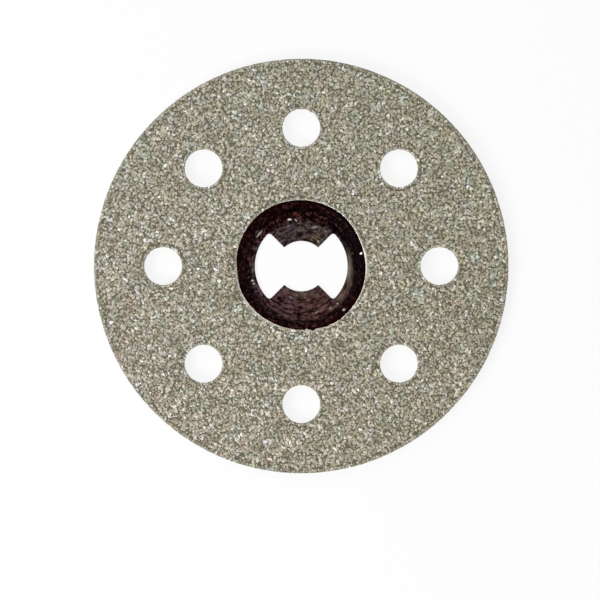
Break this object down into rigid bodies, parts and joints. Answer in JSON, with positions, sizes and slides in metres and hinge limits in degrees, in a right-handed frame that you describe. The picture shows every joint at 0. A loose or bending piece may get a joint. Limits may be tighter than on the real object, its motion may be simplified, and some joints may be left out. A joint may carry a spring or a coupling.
{
  "type": "diamond cut-off wheel",
  "caption": "Thin round diamond-plated cutting disc for a small rotary tool, with sight holes and a shallow pressed hub whose bow-tie opening locks on a twist mandrel.",
  "frame": {"origin": "middle of the hub's underside, on the surface that the wheel lies on", "axes": "+Z along the spin axis, out of the recessed side of the hub; the two wings of the drive opening lie along X"},
  "size_m": [0.0381, 0.038, 0.0012],
  "materials": {
    "burnished_steel": "dark burnished steel, bare and slightly scratched",
    "diamond_grit": "diamond crystals in plated nickel, coarse and sparkling"
  },
  "bodies": {
    "root": {"steel_core": "burnished_steel", "diamond_coat": "diamond_grit"}
  },
  "joints": []
}
